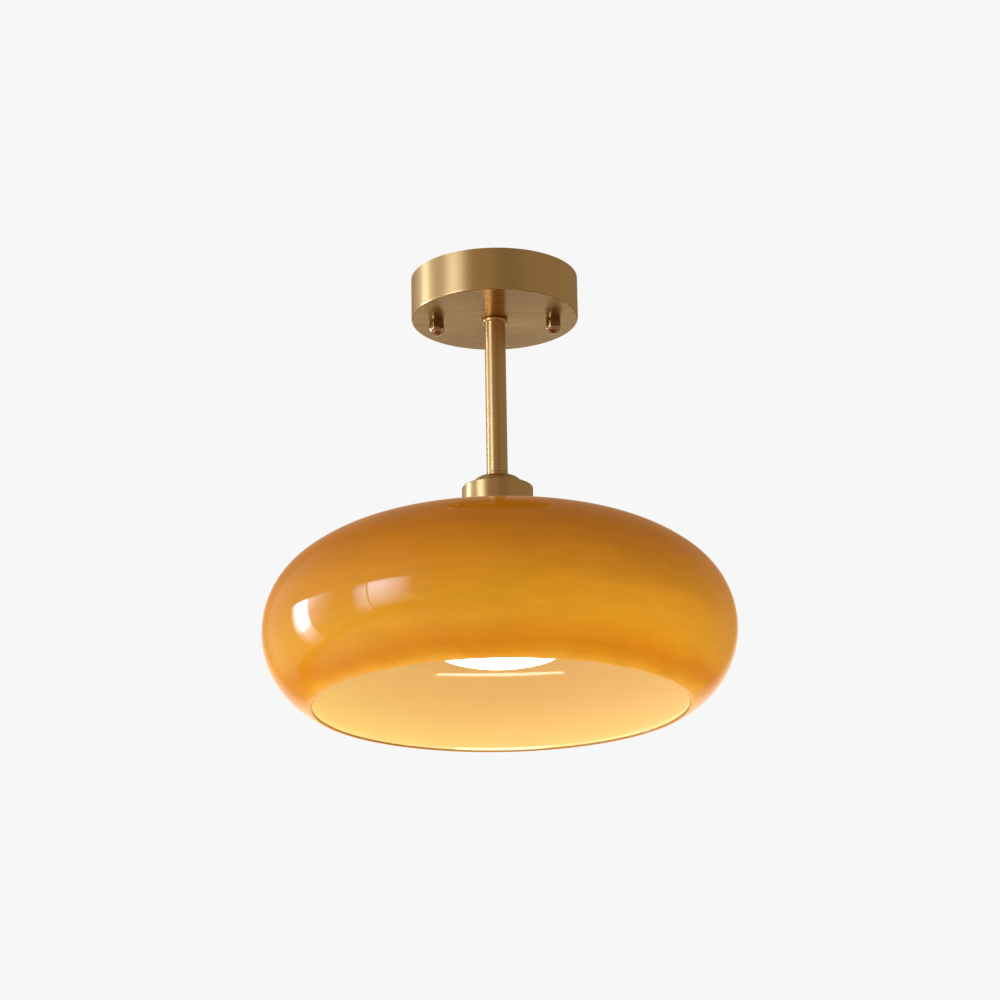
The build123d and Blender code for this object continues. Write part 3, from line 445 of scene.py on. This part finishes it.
# The two cap nuts, turned from brass bar with a knurled grip and polished. Their colour holds
# painted shade in the grooves, a painted highlight on the bead and a painted reflection on the
# dome.
BEAD_PAINTED_HIGHLIGHT = (0.80, 0.58, 0.34)
RIDGE_BRASS = (0.50, 0.33, 0.15)
GROOVE_PAINTED_SHADE = (0.13, 0.075, 0.025)
DOME_PAINTED_REFLECTION = (0.62, 0.42, 0.28)
DOME_PAINTED_REFLECTION_DARK = (0.40, 0.22, 0.13)
NUT_GROOVE_RADIUS = 0.00410
NUT_RIDGE_RADIUS = 0.00442
NUT_BEAD_RADIUS = 0.00465
NUT_BEAD_FOOT = (-0.0327, -0.0323)


def nut_with_painted_light(name, nut_x):
    """Brass with painted shade in the grooves, a middle tone on the ridges and a painted highlight
    on the bead, by the distance from the nut's axis, over a dome with a clouded painted reflection."""
    material, tree, shader, place = new_finish(name, metallic=1.0)
    parts, radius = place_round(tree, place, nut_x)
    # Painted shade in the grooves, lifting to the ridges' tone and to a painted highlight on the
    # bead.
    out_of_groove_shade = rescale(tree, radius, NUT_GROOVE_RADIUS, NUT_RIDGE_RADIUS)
    grip = mix_colours(tree, out_of_groove_shade, GROOVE_PAINTED_SHADE, RIDGE_BRASS)
    bead_highlight = rescale(tree, radius, NUT_RIDGE_RADIUS, NUT_BEAD_RADIUS)
    grip = mix_colours(tree, bead_highlight, grip, BEAD_PAINTED_HIGHLIGHT)
    # Painted reflection on the dome.
    cloud = rescale(tree, speckle(tree, place, 700.0), 0.35, 0.7)
    dome = mix_colours(tree, cloud, DOME_PAINTED_REFLECTION, DOME_PAINTED_REFLECTION_DARK)
    above = rescale(tree, parts["Z"], *NUT_BEAD_FOOT)
    tree.links.new(mix_colours(tree, above, dome, grip), shader.inputs["Base Color"])
    gloss_between(tree, shader, speckle(tree, place, 1500.0), 0.10, 0.2)
    relief(tree, shader, speckle(tree, place, 5000.0, detail=2.0), 0.00002, 0.4)
    return material


for name, nut_x in (("cap_nut_left", -STUD_X), ("cap_nut_right", STUD_X)):
    dress(name, nut_with_painted_light(name + "_brass", nut_x))


# The lampholder: a two-part body moulded in black phenolic, a pressed ceramic contact block and a
# thin brass shell rolled with the bulb's thread. The lower half's own thread takes the shade ring.
PHENOLIC = (0.022, 0.020, 0.019)
PHENOLIC_SHADE = (0.038, 0.034, 0.031)
CERAMIC = (0.86, 0.84, 0.79)
CERAMIC_SHADE = (0.76, 0.73, 0.67)

SLEEVE_RADIUS = 0.01725
SLEEVE_BORE = 0.01475
HOLDER_RADIUS = 0.0193
RECESS_RADIUS = 0.0160
SLEEVE_FLANGE = 0.003
SLEEVE_FLOOR = 0.001
SLEEVE_BEVEL = 0.0005
HOLDER_BEVEL = 0.0003
SLEEVE_PITCH = 0.0025
SLEEVE_THREAD_DEPTH = 0.0008
SLEEVE_THREAD_START = 0.0006
SLEEVE_PLAIN = 0.008
SLEEVE_SPACING = 0.00025
SHELL_RADIUS = 0.0142
SHELL_WALL = 0.0004
SHELL_MOUTH = 0.0105
SHELL_THREAD_DEPTH = 0.0006
SHELL_SPACING = 0.0003
HOLDER_TURNS = 96
CAP_PITCH = 0.00362

phenolic = moulded("black_phenolic", PHENOLIC, PHENOLIC_SHADE, gloss=(0.24, 0.4))
for name in ("holder_cap", "shade_ring"):
    dress(name, phenolic)
dress("contact_block", moulded("white_ceramic", CERAMIC, CERAMIC_SHADE, gloss=(0.15, 0.3)))


def turned_grid(outline, turns):
    """A closed section swept round the axis: x = r cos a, y = r sin a, on a grid of section point
    and angle. The faces point outwards whichever way round the section is drawn."""
    angle = np.linspace(0.0, 2 * math.pi, turns, endpoint=False)
    radius = np.repeat(outline[:, :1], turns, axis=1)
    height = np.repeat(outline[:, 1:], turns, axis=1)
    around = np.broadcast_to(angle, radius.shape)
    index = np.arange(radius.size).reshape(radius.shape)
    ahead, across = np.roll(index, -1, axis=1), np.roll(index, -1, axis=0)
    quads = np.stack([index, across, np.roll(across, -1, axis=1), ahead], axis=-1).reshape(-1, 4)
    after = np.roll(outline, -1, axis=0)
    drawn = np.sum(outline[:, 0] * after[:, 1] - after[:, 0] * outline[:, 1])
    return radius, around, height, quads if drawn < 0 else quads[:, ::-1]


def round_points(radius, around, height):
    """Every point of the grid in a list: (r cos a, r sin a, z)."""
    place = np.stack([radius * np.cos(around), radius * np.sin(around), height], axis=-1)
    return place.reshape(-1, 3)


def along_runs(corners, spacing):
    """Points along the straight runs between a section's corners, at most the spacing apart."""
    corners = np.array(corners)
    runs = []
    for first, last in zip(corners, corners[1:]):
        steps = max(1, math.ceil(np.linalg.norm(last - first) / spacing))
        runs.append(first + (last - first) * np.linspace(0.0, 1.0, steps, endpoint=False)[:, None])
    return np.concatenate([*runs, corners[-1:]])


def threaded(radius, around, height, pitch, depth, low, high):
    """A rounded thread: the radius less depth (1 - cos(2 pi z / pitch - a)) / 2, which fades in and
    out over one pitch at each end."""
    wave = (1 - np.cos(2 * math.pi * height / pitch - around)) / 2
    fade = np.clip((height - low) / pitch, 0.0, 1.0) * np.clip((high - height) / pitch, 0.0, 1.0)
    return radius - depth * wave * fade


def mesh_object(name, points, quads, materials, slots=None, sharp=None):
    """A mesh object from arrays of points and four-sided faces, shaded smooth."""
    mesh = bpy.data.meshes.new(name)
    mesh.vertices.add(len(points))
    mesh.vertices.foreach_set("co", np.asarray(points, dtype=np.float32).ravel())
    mesh.loops.add(quads.size)
    mesh.loops.foreach_set("vertex_index", quads.astype(np.int32).ravel())
    mesh.polygons.add(len(quads))
    mesh.polygons.foreach_set("loop_start", np.arange(0, quads.size, 4, dtype=np.int32))
    mesh.polygons.foreach_set("use_smooth", np.ones(len(quads), dtype=bool))
    for material in materials:
        mesh.materials.append(material)
    if slots is not None:
        mesh.polygons.foreach_set("material_index", slots.astype(np.int32))
    mesh.update(calc_edges=True)
    mesh.validate()
    if sharp is not None:
        mesh.set_sharp_from_angle(angle=sharp)
    piece = bpy.data.objects.new(name, mesh)
    scene.collection.objects.link(piece)
    return piece


def sleeve_points():
    """The lower half: a flanged tube, threaded outside from under the glass to its lower end."""
    low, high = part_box("holder_sleeve")[0][2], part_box("holder_sleeve")[1][2]
    flange = high - SLEEVE_FLANGE
    floor_top = flange + SLEEVE_FLOOR
    corners = [(SLEEVE_BORE, low), (SLEEVE_RADIUS - SLEEVE_BEVEL, low),
               (SLEEVE_RADIUS, low + SLEEVE_BEVEL), (SLEEVE_RADIUS, flange),
               (HOLDER_RADIUS - HOLDER_BEVEL, flange), (HOLDER_RADIUS, flange + HOLDER_BEVEL),
               (HOLDER_RADIUS, high), (RECESS_RADIUS, high), (RECESS_RADIUS, floor_top),
               (SLEEVE_BORE, floor_top)]
    radius, around, height, quads = turned_grid(along_runs(corners, SLEEVE_SPACING),
                                                HOLDER_TURNS)
    cut = threaded(radius, around, height, SLEEVE_PITCH, SLEEVE_THREAD_DEPTH,
                   low + SLEEVE_THREAD_START, flange - SLEEVE_PLAIN)
    return round_points(np.where(radius > RECESS_RADIUS, cut, radius), around, height), quads


sleeve = mesh_object("threaded_sleeve", *sleeve_points(), [phenolic], sharp=math.radians(35))
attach(sleeve, "fixed")
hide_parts("holder_sleeve")


def shell_points():
    """The shell: one thickness of brass with the bulb's thread rolled in, flanged in at the top."""
    low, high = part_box("socket_shell")[0][2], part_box("socket_shell")[1][2]
    inner = SHELL_RADIUS - SHELL_WALL
    corners = [(inner, low), (SHELL_RADIUS, low), (SHELL_RADIUS, high), (SHELL_MOUTH, high),
               (SHELL_MOUTH, high - SHELL_WALL), (inner, high - SHELL_WALL)]
    radius, around, height, quads = turned_grid(along_runs(corners, SHELL_SPACING), HOLDER_TURNS)
    rolled = threaded(radius, around, height, CAP_PITCH, SHELL_THREAD_DEPTH,
                      low, high - 2 * SHELL_WALL)
    return round_points(rolled, around, height), quads


shell = mesh_object("rolled_shell", *shell_points(), [contact_brass], sharp=math.radians(40))
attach(shell, "fixed")
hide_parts("socket_shell")


# The two silicone seals, cut from sheet, which keep the glass off the cover and off the ring.
SILICONE = (0.80, 0.80, 0.78)
SILICONE_SHADE = (0.70, 0.70, 0.67)

silicone = moulded("clear_silicone", SILICONE, SILICONE_SHADE, gloss=(0.3, 0.45))
for name in ("upper_seal", "lower_seal"):
    dress(name, silicone)


# The glass shade, blown in one gather of opal cream cased with amber, then cut and fire polished
# at the mouth. It hangs on its upper hole between the two seals. The amber stops give its colour
# from the mouth (0) to the top (1): the amber's own colour, with painted shade deepening it towards
# the top and painted light brightening it at the mouth.
SHADE_WIDEST = 0.138
SHADE_WALL = 0.003
LAND_EDGE = 0.024
HOLE_RADIUS = 0.018
CROWN_R = 0.228
SHOULDER_R = 0.0845
SIDE_R = 0.0498
SHOULDER_END = math.radians(40.1)
LIP_HEIGHT = -0.26416
LIP_CORNER = 0.00045
LIP_BULGE = 0.00004
MOUTH_RADIUS = 0.10875
CROWN_STEPS = 26
SHOULDER_STEPS = 22
SIDE_STEPS = 64
CORNER_STEPS = 9
UNDER_STEPS = 7
CUT_STEPS = 8


def arc(centre, radius, start, end, steps):
    """Points on a circle, by the angle from straight up: centre + radius (sin, cos)."""
    angle = np.linspace(start, end, steps)
    return np.array(centre) + radius * np.stack([np.sin(angle), np.cos(angle)], axis=1)


def shade_outline():
    """The wall's section as (distance from the axis, height), from the hole's edge along the
    outside to the mouth, up its cut edge and back along the inside. Crown, shoulder and side are
    arcs with common tangents, and the cut edge has a small round corner at its foot."""
    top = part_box("glass_shade")[1][2]
    side = np.array([SHADE_WIDEST - SIDE_R, 0.0])
    shoulder_x = side[0] - (SHOULDER_R - SIDE_R) * math.sin(SHOULDER_END)
    crown_end = math.asin((shoulder_x - LAND_EDGE) / (CROWN_R - SHOULDER_R))
    crown = np.array([LAND_EDGE, top - CROWN_R])
    shoulder = np.array([shoulder_x, crown[1] + (CROWN_R - SHOULDER_R) * math.cos(crown_end)])
    side[1] = shoulder[1] + (SHOULDER_R - SIDE_R) * math.cos(SHOULDER_END)
    lip = np.array([MOUTH_RADIUS + SHADE_WALL / 2, LIP_HEIGHT])
    side_end = math.atan2(lip[0] - side[0], lip[1] - side[1])
    cut_end = math.pi - math.asin((MOUTH_RADIUS - side[0]) / (SIDE_R - SHADE_WALL))
    wall = SHADE_WALL
    outside = [arc(crown, CROWN_R, 0.0, crown_end, CROWN_STEPS),
               arc(shoulder, SHOULDER_R, crown_end, SHOULDER_END, SHOULDER_STEPS)[1:],
               arc(side, SIDE_R, SHOULDER_END, side_end, SIDE_STEPS)[1:]]
    corner_centre = (MOUTH_RADIUS + LIP_CORNER, lip[1] - wall / 2 + LIP_CORNER)
    corner = arc(corner_centre, LIP_CORNER, math.pi, 1.5 * math.pi, CORNER_STEPS)
    under = np.linspace(outside[-1][-1], corner[0], UNDER_STEPS)[1:-1]
    under[:, 1] -= LIP_BULGE * np.sin(np.linspace(0.0, math.pi, UNDER_STEPS)[1:-1])
    inside = [arc(side, SIDE_R - wall, cut_end, SHOULDER_END, SIDE_STEPS),
              arc(shoulder, SHOULDER_R - wall, SHOULDER_END, crown_end, SHOULDER_STEPS)[1:],
              arc(crown, CROWN_R - wall, crown_end, 0.0, CROWN_STEPS)[1:]]
    cut = np.linspace(corner[-1], inside[0][0], CUT_STEPS)[1:-1]
    hole = np.array([[HOLE_RADIUS, top - wall], [HOLE_RADIUS, top]])
    return np.concatenate([*outside, under, corner, cut, *inside, hole])


# The mouth's edge, up to this height, takes a thin dark line of painted shade.
LIP_SHADE_HEIGHT = 0.0009
LIP_SHADED_AMBER = (0.50, 0.27, 0.07)
LIP_PAINTED_SHADE = (0.42, 0.21, 0.04)
GLASS_IOR = 1.55
AMBER_AND_PAINTED_LIGHT_STOPS = ((0.0, (0.96, 0.43, 0.030)), (0.03, (0.78, 0.28, 0.001)),
               (0.06, (0.71, 0.225, 0.0)), (0.16, (0.73, 0.30, 0.010)),
               (0.25, (0.69, 0.29, 0.012)), (0.45, (0.57, 0.21, 0.009)),
               (0.65, (0.41, 0.13, 0.005)), (0.80, (0.34, 0.105, 0.003)),
               (1.0, (0.26, 0.075, 0.001)))
AMBER_BODY = (0.4, 0.4, 0.4)
AMBER_GLOW = 0.73
BELT_FOOT = (0.0, 0.1)
BELT_TOP = (0.42, 0.34)
BELT_START = (0.0, 0.085)
BELT_END = (0.136, 0.10)
GLOW_RIGHT = 0.24
CROWN_FOOT = (0.35, 0.6)
CROWN_START = (0.01, -0.07)
GLOW_LEFT = 0.16
STREAKS = (0.91, 1.09)
AMBER_SHEEN = 0.36
CREAM = (0.86, 0.77, 0.44)
PEACH = (0.78, 0.62, 0.37)
CREAM_GLOW = (0.96, 0.64, 0.18)
PEACH_GLOW = (0.90, 0.50, 0.15)
LINING_GLOW = 0.22
LINING_RISE = (-0.262, -0.205)
LINING_SIDES = (-0.11, 0.11, -0.25, 0.25)


def amber_casing():
    """The amber outer layer, clouded by the blowing, with painted shade that deepens it towards the
    top and painted light at the mouth. A painted glow stands in for the bulb's light coming through
    it unevenly: in faint level streaks, and more strongly in a belt low on the right and high on
    the left."""
    material, tree, shader, place = new_finish("amber_casing", ior=GLASS_IOR)
    parts = add_node(tree, "ShaderNodeSeparateXYZ", {0: place}).outputs
    sideways = parts["X"]
    level = rescale(tree, parts["Z"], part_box("glass_shade")[0][2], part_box("glass_shade")[1][2])
    clouds = speckle(tree, place, 16.0, detail=4.0, stretch=(1.0, 1.0, 2.4))
    level = math_node(tree, "ADD", level, rescale(tree, clouds, 0.3, 0.7, -0.02, 0.02))
    # The amber's colour by height, with painted shade towards the top and painted light at the
    # mouth.
    amber = colour_ramp(tree, level, AMBER_AND_PAINTED_LIGHT_STOPS)
    body = mix_colours(tree, 1.0, amber, AMBER_BODY, blend="MULTIPLY")
    tree.links.new(body, shader.inputs["Base Color"])
    belt = math_node(tree, "MULTIPLY", rescale(tree, level, *BELT_FOOT),
                     rescale(tree, level, *BELT_TOP))
    right = math_node(tree, "MULTIPLY", rescale(tree, sideways, *BELT_START),
                      rescale(tree, sideways, *BELT_END))
    belt = math_node(tree, "MULTIPLY", belt, math_node(tree, "MULTIPLY", right, GLOW_RIGHT))
    crown = math_node(tree, "MULTIPLY", rescale(tree, level, *CROWN_FOOT),
                      rescale(tree, sideways, *CROWN_START, 0.0, GLOW_LEFT))
    streaks = speckle(tree, place, 40.0, detail=5.0, roughness=0.62, stretch=(1.0, 1.0, 4.0))
    strength = math_node(tree, "ADD", math_node(tree, "ADD", belt, crown),
                         rescale(tree, streaks, 0.25, 0.75, *STREAKS))
    glow = add_node(tree, "ShaderNodeVectorMath", {0: amber, "Scale": strength}, operation="SCALE")
    tree.links.new(glow.outputs["Vector"], shader.inputs["Emission Color"])
    shader.inputs["Emission Strength"].default_value = AMBER_GLOW
    shader.inputs["Specular IOR Level"].default_value = AMBER_SHEEN
    gloss_between(tree, shader, speckle(tree, place, 60.0), 0.03, 0.06)
    return material


def lip_painted_shade():
    """The amber edge of the casing at the mouth, darkened with painted shade into a thin dark line.
    """
    material, tree, shader, place = new_finish("lip_painted_shade", ior=GLASS_IOR)
    colour_between(tree, shader, speckle(tree, place, 40.0), LIP_SHADED_AMBER, LIP_PAINTED_SHADE)
    gloss_between(tree, shader, speckle(tree, place, 60.0), 0.05, 0.10)
    return material


def opal_lining():
    """The cream inner layer with the bulb's light painted on: a painted glow, and a tone that goes
    from yellow by the mouth and on the left to peach further up and on the right.
    """
    material, tree, shader, place = new_finish("opal_lining", ior=GLASS_IOR)
    parts = add_node(tree, "ShaderNodeSeparateXYZ", {0: place}).outputs
    # Painted light: the tone and glow shift with height and from left to right.
    level = rescale(tree, parts["Z"], *LINING_RISE)
    sideways = rescale(tree, parts["X"], *LINING_SIDES)
    clouds = rescale(tree, speckle(tree, place, 22.0), 0.3, 0.7, -0.06, 0.06)
    share = math_node(tree, "ADD", math_node(tree, "ADD", level, sideways), clouds, clamp=True)
    tone = mix_colours(tree, share, CREAM, PEACH)
    glow = mix_colours(tree, share, CREAM_GLOW, PEACH_GLOW)
    tree.links.new(tone, shader.inputs["Base Color"])
    tree.links.new(glow, shader.inputs["Emission Color"])
    shader.inputs["Emission Strength"].default_value = LINING_GLOW
    gloss_between(tree, shader, speckle(tree, place, 60.0), 0.025, 0.05)
    return material


SHADE_TURNS = 360
outline = shade_outline()
radius, around, height, quads = turned_grid(outline, SHADE_TURNS)
foot = int(np.argmin(outline[:, 1]))
row = np.repeat(np.arange(len(outline)), SHADE_TURNS)
# Rows at the mouth's edge take the lip's painted shade.
on_lip_shade = outline[row, 1] < outline[foot, 1] + LIP_SHADE_HEIGHT
part = np.where(row < foot, 0, np.where(on_lip_shade, 1, 2))
part[row >= len(outline) - 1] = 0
finishes = [amber_casing(), lip_painted_shade(), opal_lining()]
points = round_points(radius, around, height)
shade = mesh_object("blown_shade", points, quads, finishes, slots=part, sharp=math.radians(50))
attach(shade, "fixed")
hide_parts("glass_shade")


# The three leads from the terminal block: stranded copper in soft extruded sheaths. Brown and blue
# run down the stem to the lampholder, and the striped one earths the canopy.
LEAD_COLOURS = {
    "live_lead": ((0.16, 0.055, 0.022), (0.21, 0.075, 0.032)),
    "neutral_lead": ((0.030, 0.13, 0.42), (0.045, 0.17, 0.50)),
}
EARTH_GREEN = (0.07, 0.30, 0.05)
EARTH_YELLOW = (0.72, 0.60, 0.04)
STRIPE_EDGE = (0.00062, 0.00068)

for name, (first, second) in LEAD_COLOURS.items():
    dress(name, moulded(name + "_sheath", first, second, gloss=(0.3, 0.45)))


def striped_sheath():
    """Green with a yellow stripe along both sides: the lead lies in one plane, so the stripes are
    where a point is more than so far from that plane."""
    material, tree, shader, place = new_finish("earth_sheath")
    beside = add_node(tree, "ShaderNodeSeparateXYZ", {0: place}).outputs["Y"]
    off_plane = math_node(tree, "ABSOLUTE", beside)
    stripe = rescale(tree, off_plane, *STRIPE_EDGE)
    colour_between(tree, shader, stripe, EARTH_GREEN, EARTH_YELLOW)
    gloss_between(tree, shader, speckle(tree, place, 700.0), 0.3, 0.45)
    relief(tree, shader, speckle(tree, place, 2500.0, detail=2.0), 0.00002, 0.4)
    return material


dress("earth_lead", striped_sheath())


# The bulb: a thin screw cap rolled from nickel plated sheet and crimped on a white moulded housing,
# with a black glass insulator and a solder tip above, and a lit opal lens over the board below.
HOUSING_WHITE = (0.88, 0.88, 0.87)
HOUSING_SHADE = (0.82, 0.82, 0.81)
GLASS_BLACK = (0.02, 0.02, 0.024)
BOARD = (0.72, 0.73, 0.74)
LENS_GLOW = (1.0, 0.90, 0.70)
LENS_PALE = (1.0, 0.93, 0.78)
LENS_STRENGTH = 11.0
HOUSING_LEAK = 1.2
LEAK_STOPS = ((0.0, (0.9, 0.8, 0.6)), (0.4, (0.5, 0.4, 0.25)), (1.0, (0.0, 0.0, 0.0)))
LEAK_HEIGHT = 0.012

CAP_RADIUS = 0.0131
CAP_WALL = 0.0004
CAP_MOUTH = 0.0115
CAP_GRIP = 0.003
CAP_SHOULDER = 0.0016
CAP_LIP = 0.001
CAP_THREAD_DEPTH = 0.001
CAP_SPACING = 0.0003
CAP_TURNS = 128

dress("bulb_tip", nickel)
dress("bulb_insulator", moulded("cap_glass", GLASS_BLACK, PHENOLIC_SHADE, gloss=(0.08, 0.16)))


def lit_housing():
    """White moulding with a painted glow next to the lens that fades further up."""
    material, tree, shader, place = new_finish("bulb_housing_white")
    colour_between(tree, shader, speckle(tree, place, 180.0), HOUSING_WHITE, HOUSING_SHADE)
    gloss_between(tree, shader, speckle(tree, place, 900.0), 0.35, 0.5)
    relief(tree, shader, speckle(tree, place, 2200.0, detail=2.0), 0.00003, 0.4)
    height = add_node(tree, "ShaderNodeSeparateXYZ", {0: place}).outputs["Z"]
    above_rim = math_node(tree, "SUBTRACT", height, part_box("bulb_housing")[0][2])
    glow = colour_ramp(tree, rescale(tree, above_rim, 0.0, LEAK_HEIGHT), LEAK_STOPS)
    tree.links.new(glow, shader.inputs["Emission Color"])
    shader.inputs["Emission Strength"].default_value = HOUSING_LEAK
    return material


dress("bulb_housing", lit_housing())
dress("bulb_board", plain_metal("board_aluminium", BOARD, NICKEL_DULL))

lens_finish, lens_tree, lens_shader, lens_place = new_finish("lit_lens")
lens_glow = mix_colours(lens_tree, speckle(lens_tree, lens_place, 40.0), LENS_GLOW, LENS_PALE)
lens_tree.links.new(lens_glow, lens_shader.inputs["Emission Color"])
lens_tree.links.new(lens_glow, lens_shader.inputs["Base Color"])
lens_shader.inputs["Emission Strength"].default_value = LENS_STRENGTH
dress("bulb_diffuser", lens_finish)


def cap_points():
    """The screw cap: one thickness of sheet with a rolled thread, plain where the housing grips it,
    and drawn in at the top round the insulator."""
    low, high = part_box("bulb_screw_cap")[0][2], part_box("bulb_screw_cap")[1][2]
    inner = CAP_RADIUS - CAP_WALL
    edge = CAP_MOUTH - CAP_LIP
    corners = [(inner, low), (CAP_RADIUS, low), (CAP_RADIUS, high - CAP_SHOULDER),
               (CAP_MOUTH + CAP_WALL, high), (edge, high), (edge, high - CAP_WALL),
               (CAP_MOUTH, high - CAP_WALL), (inner, high - CAP_SHOULDER - CAP_WALL)]
    radius, around, height, quads = turned_grid(along_runs(corners, CAP_SPACING), CAP_TURNS)
    rolled = threaded(radius, around, height, CAP_PITCH, CAP_THREAD_DEPTH,
                      low + CAP_GRIP, high - CAP_SHOULDER)
    return round_points(rolled, around, height), quads


screw_cap = mesh_object("threaded_cap", *cap_points(), [nickel], sharp=math.radians(40))
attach(screw_cap, "bulb")
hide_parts("bulb_screw_cap")
